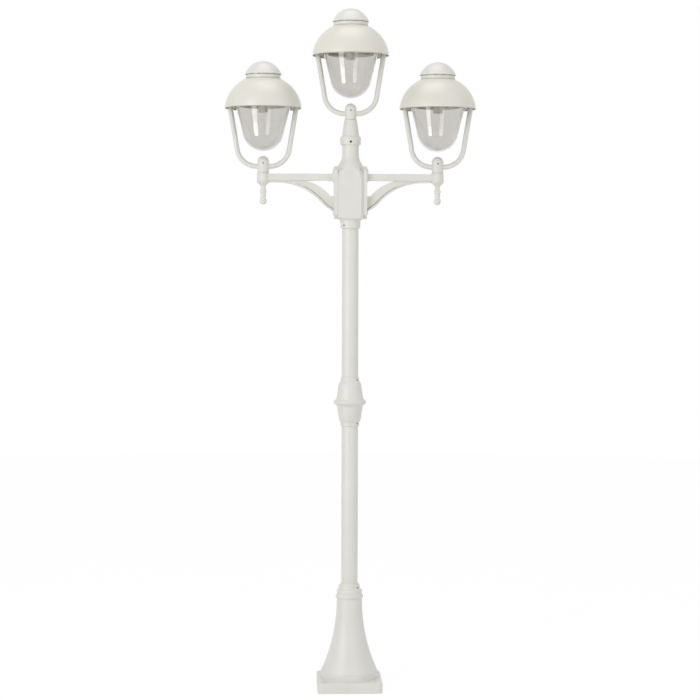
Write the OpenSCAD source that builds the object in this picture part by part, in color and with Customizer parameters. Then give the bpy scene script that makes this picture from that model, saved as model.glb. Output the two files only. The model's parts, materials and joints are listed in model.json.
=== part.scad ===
// Triple head lamp post in powder-coated cast aluminium.
// Millimetres, +Z up, origin on the ground under the pole, arms along X.
// Outlines of turned pieces are [radius, height] points.

/* [Base] */
// Width of the square plinth
plinth_w = 234; // [216:2:280]
// Height of the plinth
plinth_h = 38; // [28:1:46]
// Radius of the plinth's upright corners
plinth_corner_r = 18; // [10:1:24]
// Bevel round the plinth's top edge
plinth_bevel = 3.5; // [1:0.5:5]
// Distance of the anchor holes from the plinth's sides
anchor_inset = 25; // [20:1:26]
// Diameter of the four anchor holes
anchor_d = 11; // [8:0.5:13]
// Distance of the round drum's side inside the plinth's side
drum_inset = 13; // [11:1:16]
// Height of the drum's top edge above the ground
drum_top = 62; // [56:1:70]
// Height of the casting's neck above the flare
neck_h = 62; // [61:1:90]
// Thickness of the casting's neck round the pole
neck_wall = 16; // [12:0.5:18]
// Height of the casting's top edge on the pole
base_top = 384; // [370:1:400]
// Wall of the base casting
base_wall = 8; // [5:1:10]
// Depth of the pole in the base casting
base_socket = 110; // [80:5:130]

/* [Pole] */
// Diameter of the pole tubes
pole_d = 60; // [56:0.5:62]
// Wall of the pole tubes
pole_wall = 3; // [2:0.5:5]
// Height of the knop's bead, where the two tubes meet
knop_z = 1043; // [900:1:1200]
// Height of the knop above its bead
knop_up = 90; // [80:1:100]
// Height of the knop below its bead
knop_down = 87; // [80:1:100]
// Wall of the knop's rings round the pole
knop_wall = 4; // [3:0.5:6]
// Swell of the knop's body over its rings
knop_swell = 15; // [12:0.5:18]
// Height of the knop's bead over its rings
knop_bead = 24.5; // [21:0.5:28]
// Radius of the bead's round edge
bead_edge_r = 9; // [7:0.5:10]
// Thickness of the stop between the two tubes
knop_stop = 6; // [4:1:10]

/* [Crosshead] */
// Height of the crosshead's lower edge
collar_z = 1672; // [1600:1:1750]
// Wall of the crosshead's lower collar round the pole
collar_wall = 6; // [5:0.5:8]
// Height of the lower collar
collar_h = 21; // [18:1:26]
// Depth of the pole in the crosshead
head_socket = 97; // [70:1:100]
// Width of the square box
box_w = 92; // [88:1:98]
// Height of the box
box_h = 188; // [176:1:200]
// Bevel on the box's upright corners
box_bevel = 8.5; // [5:0.5:11]
// Wall of the box
box_wall = 8; // [6:1:10]
// Height of the shoulder over which the square box turns round
box_shoulder = 59; // [50:1:66]
// Distance that the shoulder draws in
shoulder_in = 14; // [12:0.5:16]
// Radius of the neck above the box
crown_r = 30; // [29:0.5:32]
// Height of the neck's top above the box
crown_h = 106; // [98:1:116]
// Radius of the cove between box and neck
crown_cove = 62; // [50:1:70]
// Height of the cove's foot above the box
crown_step = 9; // [4:0.5:14]
// Distance of the cove's foot inside the box's side
crown_in = 3.7; // [2:0.1:6]
// Radius of the ring round the neck's mouth
crown_ring_r = 37.7; // [36:0.1:40]
// Height of that ring
crown_ring_h = 28; // [24:1:32]
// Diameter of the set screw in that ring
crown_screw_d = 8; // [6:0.5:9]

/* [Top adapter] */
// Height of the tapered adapter above the neck
adapter_h = 63; // [55:1:80]
// Radius of the adapter's foot
adapter_foot_r = 34; // [33:0.5:36]
// Radius of the adapter's taper at its top
adapter_top_r = 23.2; // [22:0.1:26]
// Radius of the adapter's stem in the neck
adapter_stem_r = 24; // [20:0.5:25]
// Length of that stem
adapter_stem = 60; // [40:1:66]

/* [Arms] */
// Distance of a side head from the pole's axis
arm_reach = 315; // [300:1:420]
// Depth of the middle of the arm's bar under the box's top
bar_drop = 38; // [34:1:46]
// Width and height of the bar
bar_w = 25; // [20:1:28]
// Thickness of the wall plate
plate_t = 13.4; // [10:0.2:16]
// Width of the wall plate
plate_w = 72; // [64:1:80]
// Radius of the wall plate's end lobes
plate_lobe_r = 20; // [16:1:24]
// Thickness of the brace's web
web_t = 16; // [12:1:20]
// Radius of the brace's lower arc
brace_r = 215; // [190:5:230]
// Depth of the brace's top under the middle of the bar
brace_drop = 19.4; // [16:0.2:24]
// Distance of the lower arc's centre inside the head's axis
brace_in = 51; // [40:1:60]
// Radius of the brace's upper arc
brace_upper_r = 161; // [150:1:170]
// Depth of the brace's foot under the middle of the bar
brace_foot_drop = 114; // [108:1:120]
// Depth of the brace's upper edge at the plate under the middle of the bar
brace_root_drop = 68; // [60:1:74]
// Distance of the upper arc's centre inside the head's axis
brace_upper_in = 118; // [110:1:126]
// Depth of the upper arc's top under the middle of the bar
brace_upper_drop = 9; // [8:0.2:10]
// Width of the square root block round the bar at the plate
root_w = 35; // [30:1:36]
// Thickness of that block over the plate
root_t = 4.8; // [3:0.2:6]
// Width of the flange along the brace's lower edge
flange_w = 40; // [30:1:46]
// Thickness of that flange
flange_t = 6.5; // [4:0.5:8]
// Radius of the socket at the arm's end
socket_r = 22.5; // [21:0.5:25]
// Height of the socket's top above the middle of the bar
socket_up = 16.5; // [16:0.5:24]
// Height of the socket's foot under the middle of the bar
socket_down = 16; // [14:1:20]
// Length of the drop finial below the socket
finial_h = 85; // [70:1:100]
// Radius of the finial's lower bulb
finial_r = 12.5; // [10:0.5:15]
// Radius of the finial's stem in the socket
finial_stem_r = 8; // [7:0.5:9]
// Length of that stem
finial_stem = 11; // [9:1:12]

/* [Head seat] */
// Radius of the spigot that a head turns on
spigot_r = 9; // [8:0.5:10]
// Height of the spigot
spigot_h = 42; // [36:1:46]
// Radius of the yoke's boss
boss_r = 21; // [20:0.5:23]
// Height of the boss
boss_h = 59; // [56:1:66]

/* [Yoke] */
// Diameter of the yoke's rod
rod_d = 18; // [14:0.5:18]
// Height of the rod's lowest run above the seat
rod_z = 22; // [18:1:24]
// Length of that lowest run, between the rod's bends
rod_run = 45.6; // [42.4:0.4:60]
// Lean of the rod's upright run, in degrees
rod_lean = 9.4; // [6:0.1:11]
// Distance of the rod's middle inside the hood's rim
rod_in = 19.7; // [18:0.1:24]
// Radius of the threaded nipples on the rod's ends
nipple_r = 5; // [4:0.5:6]
// Height of the nipples above the rod's shoulders
nipple_h = 14; // [12:0.5:16]

/* [Glass] */
// Height of the hood's rim above the seat
rim_z = 230; // [220:1:250]
// Depth of the glass bell below the hood's rim
glass_drop = 153.5; // [130:0.5:160]
// Taper of the bell's side, in degrees
glass_taper = 13.5; // [10:0.5:14]
// Thickness of the glass
glass_wall = 3.5; // [2.5:0.5:5]
// Width of the flange round the bell's mouth
glass_flange = 4.5; // [3:0.5:5]
// Gap between the flange's edge and the gallery's skirt
glass_gap = 2.8; // [2:0.1:4]
// Thickness of the rubber gasket on that flange
gasket_t = 1.5; // [1:0.5:3]

/* [Carrier] */
// Height of the yoke rod's shoulder above the hood's rim
carrier_z = 14; // [12:0.5:18]
// Thickness of the carrier strap
strap_t = 4; // [3:0.5:5]
// Width of the carrier strap
strap_w = 30; // [24:1:36]
// Height of the strap's raised middle above its ends
strap_rise = 32; // [26:1:38]
// Length of the strap's flat ends, inwards from the nipples
strap_seat = 32.5; // [28:0.5:36]
// Length of its slopes, along X
strap_slope = 26; // [22:1:30]
// Gap between the yoke's rod and the gallery
gallery_gap = 2.6; // [2:0.1:4]
// Thickness of the gallery's sheet
gallery_t = 2.5; // [2:0.5:3]
// Radius of the gallery's opening
gallery_open_r = 62; // [50:1:70]
// Diameter of the threaded centre stud
stud_d = 8; // [6:0.5:10]
// Distance of the stud's tip below the cap's top
stud_short = 19.6; // [16:0.2:26]
// Radius of the lampholder
holder_r = 19; // [18:0.5:24]
// Length of the lampholder
holder_h = 63; // [54:1:70]
// Wall of the lampholder's skirt round its screw socket
holder_wall = 3.3; // [2.5:0.1:4]
// Depth of that socket
lamp_socket_h = 34; // [28:1:38]

/* [Hood] */
// Radius of the hood's rim
hood_rim_r = 138; // [136:0.5:140]
// Height of the plain band at the rim
hood_band = 8; // [6:0.5:12]
// Radius of the hood's arc
hood_arc_r = 150; // [130:1:180]
// Height of the hood's flat top above its rim
hood_h = 114.8; // [105:0.2:122]
// Radius of the hood's flat top
hood_top_r = 60; // [58:0.5:63]
// Wall of the hood
hood_wall = 3; // [2:0.5:4]
// Radius of the vent holes in the hood's top
vent_hole_r = 7; // [5:0.5:9]

/* [Vent ring and cap] */
// Distance of the vent ring's side inside the hood's flat top
vent_in = 1; // [0.5:0.5:3]
// Thickness of the vent ring's wall
vent_wall = 6; // [4:0.5:8]
// Height of the vent ring
vent_h = 8; // [6:0.5:12]
// Number of posts in the vent ring
vent_posts = 12; // [8:1:16]
// Overhang of the cap beyond the vent ring
cap_over = 7; // [5.5:0.5:8]
// Height of the cap above the vent ring
cap_h = 46.8; // [42:0.2:52]
// Wall of the cap
cap_wall = 3; // [2:0.5:4]

/* [Fasteners and fits] */
// Diameter of the grub screws in the collars
grub_d = 6; // [5:0.5:8]
// Diameter of the grub screw in a yoke's boss
boss_grub_d = 5; // [4:0.5:6]
// Radial clearance of a tube or stem in its socket
fit = 0.1; // [0.05:0.01:0.1]
// Radial clearance of threads and turning seats
thread_fit = 0.05; // [0.02:0.01:0.1]
// Height of the gap under a piece that lifts or turns
seat_gap = 0.3; // [0.2:0.1:0.5]
// Gap between a wall bolt's head and the arm's root block
bolt_room = 1.5; // [0.5:0.5:3]

/* [Hidden] */
$fn = 96;
pole_r = pole_d / 2;
socket_bore = pole_r + fit;
neck_r = pole_r + neck_wall;
collar_r = pole_r + collar_wall;
box_z = collar_z + collar_h + 13;
box_top = box_z + box_h;
bar_z = box_top - bar_drop;
head_stop = collar_z + head_socket;
crown_top = box_top + crown_h;
plate_x = box_w / 2;
plate_out = plate_x + plate_t;
arm_seat = bar_z + socket_up;
centre_seat = crown_top + adapter_h;
rod_r = rod_d / 2;
wire_r = 5;

HEADS = [["left", -arm_reach, arm_seat],
         ["centre", 0, centre_seat],
         ["right", arm_reach, arm_seat]];
HEAD_PIECES = ["yoke", "boss_screw", "carrier", "lock_nuts", "gallery",
               "gallery_screws", "gasket", "glass_bell", "lampholder",
               "stud", "hood", "vent_ring", "cap"];

WHITE = "#e4e4dc";
STEEL = "#a8abae";

// ---------------------------------------------------------------- helpers

// Points of an arc round c with radius r, from angle a to angle b
function arc(c, r, a, b, n = 8) =
    [for (i = [0:n]) let (t = a + (b - a) * i / n) c + r * [cos(t), sin(t)]];

function reverse(list) = [for (i = [len(list) - 1:-1:0]) list[i]];

module turned(outline) rotate_extrude() polygon(outline);

module pipe(r_out, r_in, h) {
    difference() {
        cylinder(r = r_out, h = h);
        translate([0, 0, -1]) cylinder(r = r_in, h = h + 2);
    }
}

// A cylinder from the axis outwards, at the given angle
module radial(angle, z, r, from, to)
    rotate([0, 0, angle]) translate([from, 0, z]) rotate([0, 90, 0])
        cylinder(r = r, h = to - from);

// A grub screw that ends flush with a collar, with its hexagon socket
module grub(angle, z, d, from, to)
    rotate([0, 0, angle]) translate([from, 0, z]) rotate([0, 90, 0])
        difference() {
            cylinder(d = d - 2 * thread_fit, h = to - from);
            translate([0, 0, to - from - d / 2])
                cylinder(d = d / 2, h = d, $fn = 6);
        }

module hex_nut(across, bore_r, h) {
    difference() {
        cylinder(d = across / cos(30), h = h, $fn = 6);
        translate([0, 0, -1]) cylinder(r = bore_r, h = h + 2);
    }
}

// A square slab with round upright corners and a bevelled top edge
module bevelled_slab(w, h, r, bevel) {
    side = [[-w / 2, 0], [w / 2, 0], [w / 2, h - bevel],
            [w / 2 - bevel, h], [bevel - w / 2, h], [-w / 2, h - bevel]];
    for (turn = [0, 90])
        rotate([90, 0, turn]) translate([0, 0, r - w / 2])
            linear_extrude(w - 2 * r) polygon(side);
    for (x = [-1, 1], y = [-1, 1])
        translate([x * (w / 2 - r), y * (w / 2 - r), 0])
            turned([[0, 0], [r, 0], [r, h - bevel], [r - bevel, h], [0, h]]);
}

// ------------------------------------------------------------------- post

anchor_at = plinth_w / 2 - anchor_inset;
base_stop = base_top - base_socket;
flare_top = base_top - neck_h;
drum_r = plinth_w / 2 - drum_inset;
// The flare's arc stands upright at its top and meets the drum's edge
flare_w = drum_r - neck_r - 0.6;
flare_h = flare_top - drum_top;
flare_r = (flare_w * flare_w + flare_h * flare_h) / (2 * flare_w);
// Two set screws in each collar, opposite each other
screw_angles = [-40, 140];
base_screw_z = base_top - 15;
base_screw_r = pole_r + 8;

function flare(z, wall) =
    neck_r - wall + flare_r - sqrt(pow(flare_r, 2) - pow(flare_top - z, 2));

// The flare from the drum's edge up to the neck, as [radius, height] points
function flare_line(wall, n = 14) =
    [for (i = [0:n]) let (z = drum_top + (flare_top - drum_top) * i / n)
        [flare(z, wall), z]];

module base_outline() {
    turned(concat(
        [[0, plinth_h - 1], [drum_r, plinth_h - 1], [drum_r, drum_top - 4]],
        arc([drum_r - 4, drum_top - 4], 4, 0, 60, 4),
        flare_line(0),
        [[neck_r, base_top - 60]],
        arc([neck_r - 4, base_top - 49], 8, -60, 60, 8),
        [[neck_r - 1, base_top - 40], [neck_r - 1, base_top - 37],
         [neck_r, base_top - 36], [neck_r, base_top - 31]],
        arc([base_screw_r, base_top - 28], neck_r - base_screw_r - 1, 0, 80, 5),
        [[base_screw_r, base_screw_z - 6], [base_screw_r, base_screw_z + 6],
         [pole_r + 3, base_top - 4], [pole_r + 3, base_top], [0, base_top]]));
}

module base_casting() color(WHITE) difference() {
    union() {
        bevelled_slab(plinth_w, plinth_h, plinth_corner_r, plinth_bevel);
        base_outline();
    }
    turned(concat(
        [[0, -1], [drum_r - base_wall, -1], [drum_r - base_wall, drum_top - base_wall]],
        [for (p = flare_line(base_wall)) if (p[1] < base_stop - base_wall) p],
        [[pole_r - 6, base_stop - 4], [0, base_stop - 4]]));
    translate([0, 0, base_stop - 10]) cylinder(r = pole_r - 6, h = 20);
    translate([0, 0, base_stop]) cylinder(r = socket_bore, h = base_socket + 1);
    for (x = [-1, 1], y = [-1, 1])
        translate([x * anchor_at, y * anchor_at, -1])
            cylinder(d = anchor_d, h = plinth_h + 2);
    for (a = screw_angles)
        radial(a, base_screw_z, grub_d / 2, pole_r - 5, base_screw_r + 5);
}

module base_screws() color(STEEL) for (a = screw_angles)
    grub(a, base_screw_z, grub_d, pole_r + fit, base_screw_r - 1);

module lower_pole() color(WHITE) translate([0, 0, base_stop])
    pipe(pole_r, pole_r - pole_wall, knop_z - knop_stop / 2 - base_stop);

module upper_pole() color(WHITE) translate([0, 0, knop_z + knop_stop / 2])
    pipe(pole_r, pole_r - pole_wall, head_stop - seat_gap - knop_z - knop_stop / 2);

knop_ring_r = pole_r + knop_wall;
knop_screw_up = knop_z + knop_up - 9;
knop_screw_down = knop_z - knop_down + 10;

// Knop outline, as [share of the swell, share of the height from the bead]
knop_upper = [[1, 0.16], [0.88, 0.25], [0.79, 0.33], [0.7, 0.43], [0.64, 0.54],
              [0.55, 0.63], [0.48, 0.71], [0.3, 0.78], [0.04, 0.86], [0, 0.9], [-0.1, 1]];
knop_lower = [[0.87, 0.16], [0.79, 0.25], [0.7, 0.36], [0.6, 0.46], [0.51, 0.55],
              [0.44, 0.63], [0.36, 0.71], [0.2, 0.78], [0.02, 0.84], [0, 0.87],
              [0, 0.97], [-0.1, 1]];

module knop_sleeve() color(WHITE) difference() {
    turned(concat(
        [[0, knop_z - knop_down]],
        reverse([for (p = knop_lower)
            [knop_ring_r + knop_swell * p[0], knop_z - knop_down * p[1]]]),
        arc([knop_ring_r + knop_bead - bead_edge_r, knop_z], bead_edge_r, -80, 80, 10),
        [for (p = knop_upper)
            [knop_ring_r + knop_swell * p[0], knop_z + knop_up * p[1]]],
        [[0, knop_z + knop_up]]));
    translate([0, 0, knop_z + knop_stop / 2]) cylinder(r = socket_bore, h = knop_up);
    translate([0, 0, knop_z - knop_stop / 2 - knop_down])
        cylinder(r = socket_bore, h = knop_down);
    translate([0, 0, knop_z - knop_stop]) cylinder(r = pole_r - 6, h = 2 * knop_stop);
    for (a = screw_angles, z = [knop_screw_up, knop_screw_down])
        radial(a, z, grub_d / 2, pole_r - 5, knop_ring_r + 5);
}

module knop_screws() color(STEEL)
    for (a = screw_angles, z = [knop_screw_up, knop_screw_down])
        grub(a, z, grub_d, pole_r + fit, knop_ring_r - 0.6);

// -------------------------------------------------------------- crosshead

collar_angles = [for (i = [0:2]) -132 + 120 * i];
collar_screw_z = collar_z + 10.5;
crown_screw_z = crown_top - 17;
stem_bore = adapter_stem_r + fit;
// Angle through which the cove turns between its foot and the neck
cove_foot_r = box_w / 2 - crown_in;
cove_turn = acos((crown_r + crown_cove - cove_foot_r) / crown_cove);
bolt_r = 3;
bolt_head_r = 6;
// The upper bolts' heads clear the root block, the lower ones sit in the lobes
wall_bolts = [for (y = [-1, 1],
                   z = [box_z + 22, bar_z + root_w / 2 + bolt_head_r + bolt_room])
    [y * plate_w / 4, z]];

// Radius of the shoulder's arc, which stands upright at the shoulder's foot
box_arc_r = (box_shoulder * box_shoulder + shoulder_in * shoulder_in) / (2 * shoulder_in);
shoulder_foot_r = box_w / 2 + shoulder_in;

module box_body() intersection() {
    translate([0, 0, box_z]) linear_extrude(box_h) intersection() {
        square(box_w, center = true);
        rotate(45) square(sqrt(2) * (box_w - box_bevel), center = true);
    }
    turned(concat(
        [[0, box_z]], arc([box_w / 2 - 2, box_z + 22], 22, -90, 0, 6),
        arc([shoulder_foot_r - box_arc_r, box_top - box_shoulder], box_arc_r,
            0, asin(box_shoulder / box_arc_r), 10), [[0, box_top]]));
}

module crosshead_casting() color(WHITE) difference() {
    union() {
        box_body();
        turned(concat(
            [[0, collar_z], [collar_r - 1.5, collar_z], [collar_r, collar_z + 1.5],
             [collar_r, collar_z + collar_h - 1]],
            arc([collar_r, box_z + 4], 9, -80, 0, 5), [[0, box_z + 4]]));
        turned(concat(
            [[0, box_top - 2], [box_w / 2, box_top - 2], [cove_foot_r + 1, box_top + 5]],
            arc([crown_r + crown_cove, box_top + crown_step + crown_cove * sin(cove_turn)],
                crown_cove, 180 + cove_turn, 180, 9),
            [[crown_r, crown_top - crown_ring_h - 2],
             [crown_ring_r - 2, crown_top - crown_ring_h + 1],
             [crown_ring_r - 1.2, crown_top - crown_ring_h + 3],
             [crown_ring_r - 1.2, crown_top - 15], [crown_ring_r, crown_top - 13],
             [crown_ring_r, crown_top - 1.5], [crown_ring_r - 1.5, crown_top],
             [0, crown_top]]));
    }
    translate([0, 0, collar_z - 1]) cylinder(r = socket_bore, h = head_socket + 1);
    translate([0, 0, head_stop - 1]) cylinder(r = pole_r - 6, h = 20);
    translate([0, 0, (head_stop + 8 + box_top - box_wall) / 2])
        cube([box_w - 2 * box_wall - 2, box_w - 2 * box_wall - 2,
              box_top - box_wall - head_stop - 8], center = true);
    translate([0, 0, box_top - box_wall - 1])
        cylinder(r = crown_r - 12, h = crown_h);
    translate([0, 0, crown_top - adapter_stem]) cylinder(r = stem_bore, h = crown_h);
    for (a = collar_angles)
        radial(a, collar_screw_z, grub_d / 2, pole_r - 5, collar_r + 5);
    radial(-90, crown_screw_z, crown_screw_d / 2, adapter_stem_r - 5, crown_ring_r + 5);
    for (s = [-1, 1], b = wall_bolts)
        translate([s * (plate_x - box_wall), b[0], b[1]]) rotate([0, s * 90, 0])
            translate([0, 0, -9]) cylinder(r = bolt_r + thread_fit, h = box_wall + 10);
    translate([0, 0, bar_z]) rotate([0, 90, 0])
        cylinder(r = wire_r, h = box_w + 2, center = true);
}

module crosshead_screws() color(STEEL) {
    for (a = collar_angles)
        grub(a, collar_screw_z, grub_d, pole_r + fit + seat_gap, collar_r - 1);
    grub(-90, crown_screw_z, crown_screw_d, stem_bore, crown_ring_r - 6);
}

module terminal_block() color("#3c3f42") {
    depth = 20;
    back = box_w / 2 - box_wall - 1;
    translate([-24, back - depth, head_stop + 30]) difference() {
        cube([48, depth, 20]);
        for (i = [0:2]) translate([8 + 16 * i, 8, -1]) cylinder(r = 2.5, h = 22);
    }
}

module top_adapter() color(WHITE) difference() {
    union() {
        turned([[0, crown_top - adapter_stem + 1],
                [adapter_stem_r - 1, crown_top - adapter_stem + 1],
                [adapter_stem_r, crown_top - adapter_stem + 2],
                [adapter_stem_r, crown_top], [adapter_foot_r, crown_top],
                [adapter_foot_r, crown_top + 2], [crown_r + 1.5, crown_top + 4.5],
                [crown_r, crown_top + 12],
                [adapter_top_r, centre_seat - 1], [adapter_top_r - 1, centre_seat],
                [0, centre_seat]]);
        translate([0, 0, centre_seat - 1]) cylinder(r = spigot_r, h = spigot_h + 1);
    }
    translate([0, 0, crown_top - adapter_stem])
        cylinder(r = wire_r, h = adapter_stem + adapter_h + 2 * spigot_h);
}

// ------------------------------------------------------------------- arms

brace_cx = arm_reach - brace_in;
brace_cz = bar_z - brace_drop - brace_r;
brace_foot = bar_z - brace_foot_drop;
brace_head = bar_z - brace_root_drop;
bar_low = bar_z - bar_w / 2;
// Where the lower arc reaches the foot, as an angle round its centre
foot_angle = 180 - asin((brace_foot - brace_cz) / brace_r);
upper_c = [arm_reach - brace_upper_in, bar_z - brace_upper_drop - brace_upper_r];
upper_from = 180 - asin((brace_head - upper_c[1]) / brace_upper_r);
upper_to = 180 - asin((bar_low + 1 - upper_c[1]) / brace_upper_r);

function lower_arc(r) =
    arc([brace_cx, brace_cz], r, foot_angle, 90, 16);

web_end = arm_reach - socket_r;
socket_low = bar_z - socket_down;

// The brace's side view: lower arc out, then back under the bar to the root
module web_face() polygon(concat(
    [[plate_out - 1, brace_foot]], lower_arc(brace_r),
    [[web_end - 0.5, brace_cz + brace_r], [web_end - 0.5, socket_low],
     [web_end + 4, socket_low], [web_end + 4, bar_low + 1]],
    arc(upper_c, brace_upper_r, upper_to, upper_from, 10),
    [[plate_out - 1, brace_head]]));

module flange_face() polygon(concat(
    [[plate_out - 1, brace_foot]], lower_arc(brace_r),
    reverse(lower_arc(brace_r + flange_t)),
    [[plate_out - 1, brace_foot + flange_t]]));

// The flange in plan, narrowing to the web towards the arm's end
module flange_plan() {
    wide = flange_w / 2;
    narrow = web_t / 2;
    polygon([[0, -wide], [arm_reach / 2, -wide], [brace_cx - 10, -narrow],
             [brace_cx - 10, narrow], [arm_reach / 2, wide], [0, wide]]);
}

// A side view drawn in X and Z, given the thickness t along Y
module upright(t) rotate([90, 0, 0]) translate([0, 0, -t / 2])
    linear_extrude(t) children();

module plate_face() {
    lobe_low = box_z + plate_lobe_r;
    lobe_high = box_top + 2 - plate_lobe_r;
    translate([-plate_w / 2, lobe_low - 6])
        square([plate_w, lobe_high - lobe_low + 12]);
    for (z = [lobe_low, lobe_high]) translate([0, z]) circle(plate_lobe_r);
}

module socket() translate([arm_reach, 0, 0]) turned([
    [0, socket_low], [socket_r - 1, socket_low], [socket_r, socket_low + 1],
    [socket_r, arm_seat - 4],
    [socket_r - 0.8, arm_seat - 3.2], [socket_r - 0.8, arm_seat - 0.8],
    [socket_r - 1.6, arm_seat], [spigot_r, arm_seat],
    [spigot_r, arm_seat + spigot_h - 1], [spigot_r - 1, arm_seat + spigot_h],
    [0, arm_seat + spigot_h]]);

module arm() difference() {
    union() {
        translate([plate_x, 0, 0]) rotate([90, 0, 90])
            linear_extrude(plate_t) plate_face();
        translate([plate_out - 1, -bar_w / 2, bar_low])
            cube([arm_reach - plate_out + 1, bar_w, bar_w]);
        translate([plate_out - 1, -root_w / 2, bar_z - root_w / 2])
            cube([root_t + 1, root_w, root_w]);
        upright(web_t) web_face();
        intersection() {
            upright(flange_w) flange_face();
            translate([0, 0, brace_foot - 1]) linear_extrude(brace_foot_drop) flange_plan();
        }
        socket();
    }
    translate([plate_x - 1, 0, bar_z]) rotate([0, 90, 0])
        cylinder(r = wire_r, h = arm_reach - plate_x);
    translate([arm_reach, 0, socket_low - 1])
        cylinder(r = finial_stem_r + thread_fit, h = finial_stem + 2);
    translate([arm_reach, 0, bar_z]) cylinder(r = wire_r, h = 2 * spigot_h);
    for (b = wall_bolts) translate([plate_x - 1, b[0], b[1]]) rotate([0, 90, 0])
        cylinder(r = bolt_r + thread_fit, h = plate_t + 9);
}

module left_arm() color(WHITE) mirror([1, 0, 0]) arm();
module right_arm() color(WHITE) arm();

module arm_screws() color(WHITE) for (s = [-1, 1], b = wall_bolts)
    translate([s * plate_out, b[0], b[1]]) rotate([0, s * 90, 0]) {
        translate([0, 0, -plate_t - box_wall]) cylinder(r = bolt_r, h = plate_t + box_wall + 1);
        difference() {
            turned([[0, 0], [bolt_head_r, 0], [bolt_head_r, 2.5], [bolt_head_r - 1.5, 4],
                    [0, 4]]);
            translate([0, 0, 2]) cylinder(r = 2.5, h = 4, $fn = 6);
        }
    }

module finial() {
    top = socket_low;
    waist = finial_r - 1.8;
    bulb_z = top - finial_h + finial_r + 4;
    turned(concat(
        [[0, top + finial_stem], [finial_stem_r - 1, top + finial_stem],
         [finial_stem_r, top + finial_stem - 1], [finial_stem_r, top],
         [socket_r - 1, top], [socket_r, top - 1], [socket_r - 0.6, top - 3],
         [10.5, top - 14], [8.2, top - 19], [8.4, top - 23]],
        arc([finial_r - 12.4, top - 34.5], 12, 42, -36, 8),
        [[waist - 1, top - 46], [waist - 0.6, top - 50]],
        arc([finial_r - 16, bulb_z], 16, 38, -10, 5),
        arc([0, bulb_z - 2], finial_r, -14, -90, 8)));
}

module left_finial() color(WHITE) translate([-arm_reach, 0, 0]) finial();
module right_finial() color(WHITE) translate([arm_reach, 0, 0]) finial();

// ------------------------------------------------- heads, origin on the seat

// The rod's bend, its rise and its shoulder at the strap
rod_rim_r = hood_rim_r - rod_in;
bend_turn = 90 - rod_lean;
bend_x = rod_run / 2;
bend_r = (rod_rim_r - (rim_z - rod_z) * tan(rod_lean) - bend_x) / tan(bend_turn / 2);
rise_x = bend_x + bend_r * cos(rod_lean);
rise_z = rod_z + bend_r - bend_r * sin(rod_lean);
shoulder_z = rim_z + carrier_z;
shoulder_x = rod_rim_r + carrier_z * tan(rod_lean);
nipple_top = shoulder_z + nipple_h;
boss_screw_z = 33.5;
bore_r = spigot_r + thread_fit;

// The rod's straight runs reach into its bends, and are thinner by a hair
rod_lap = 1;
rod_run_r = rod_r - 0.02;

// One side of the bent rod, from the end of its lowest run upwards
module rod_side($fn = 48) {
    translate([bend_x, 0, rod_z + bend_r]) rotate([90, 0, 0]) rotate([0, 0, -90])
        rotate_extrude(angle = bend_turn) translate([bend_r, 0]) circle(rod_r);
    translate([rise_x, 0, rise_z]) rotate([0, rod_lean, 0]) translate([0, 0, -rod_lap])
        cylinder(r = rod_run_r, h = (shoulder_z - rise_z) / cos(rod_lean) + rod_d);
}

module yoke() color(WHITE) {
    difference() {
        union() {
            translate([0, 0, rod_z]) rotate([0, 90, 0])
                cylinder(r = rod_run_r, h = rod_run + 2 * rod_lap, center = true, $fn = 48);
            for (s = [0, 1]) mirror([s, 0, 0]) rod_side();
            turned(concat(
                [[0, seat_gap], [boss_r - 1, seat_gap], [boss_r, seat_gap + 1]],
                arc([0, boss_h - boss_r], boss_r, 0, 90, 12)));
        }
        translate([0, 0, -1]) cylinder(r = bore_r, h = spigot_h + 3);
        translate([-2 * rod_rim_r, -rod_d, shoulder_z])
            cube([4 * rod_rim_r, 2 * rod_d, 4 * rod_d]);
        radial(-90, boss_screw_z, boss_grub_d / 2, 0, boss_r + 5);
    }
    for (x = [-1, 1]) translate([x * shoulder_x, 0, shoulder_z - 1])
        cylinder(r = nipple_r, h = nipple_top - shoulder_z + 1);
}

module boss_screw() color(STEEL)
    grub(-90, boss_screw_z, boss_grub_d, spigot_r + seat_gap, boss_r - 2.5);

// The carrier is a strap with a raised middle, drawn from the side
strap_flat = shoulder_x - strap_seat;
strap_mid = strap_flat - strap_slope;
strap_low = shoulder_z;
strap_high = shoulder_z + strap_rise;
strap_end = shoulder_x + 8.5;

module carrier() color(STEEL) difference() {
    upright(strap_w) polygon([
        [-strap_end, strap_low], [-strap_flat, strap_low], [-strap_mid, strap_high],
        [strap_mid, strap_high], [strap_flat, strap_low], [strap_end, strap_low],
        [strap_end, strap_low + strap_t], [strap_flat - 1.6, strap_low + strap_t],
        [strap_mid + 1.6, strap_high + strap_t], [-strap_mid - 1.6, strap_high + strap_t],
        [1.6 - strap_flat, strap_low + strap_t], [-strap_end, strap_low + strap_t]]);
    for (x = [-1, 1]) translate([x * shoulder_x, 0, shoulder_z - 1])
        cylinder(r = nipple_r + thread_fit, h = strap_t + 2);
    translate([0, 0, strap_high - 1]) cylinder(d = stud_d + 2 * thread_fit, h = strap_t + 2);
}

// The glass hangs by its flange under the gallery's sheet
glass_top = shoulder_z - gallery_t - gasket_t;
gallery_r = shoulder_x - rod_r - gallery_gap;
flange_r = gallery_r - gallery_t - glass_gap;
// The bell's bottom is the sphere on which its tapered side ends tangent
glass_r = (flange_r - glass_flange - (glass_top - rim_z + glass_drop) * tan(glass_taper))
    / (cos(glass_taper) - (1 - sin(glass_taper)) * tan(glass_taper));
bowl_z = rim_z - glass_drop + glass_r;
gallery_screw_z = glass_top - glass_wall - 2.3;
gallery_angles = [90, 210, 330];

// Radius of the bell's outer side at height z
function bell_r(z) = glass_r * cos(glass_taper)
    + (z - bowl_z + glass_r * sin(glass_taper)) * tan(glass_taper);

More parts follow.
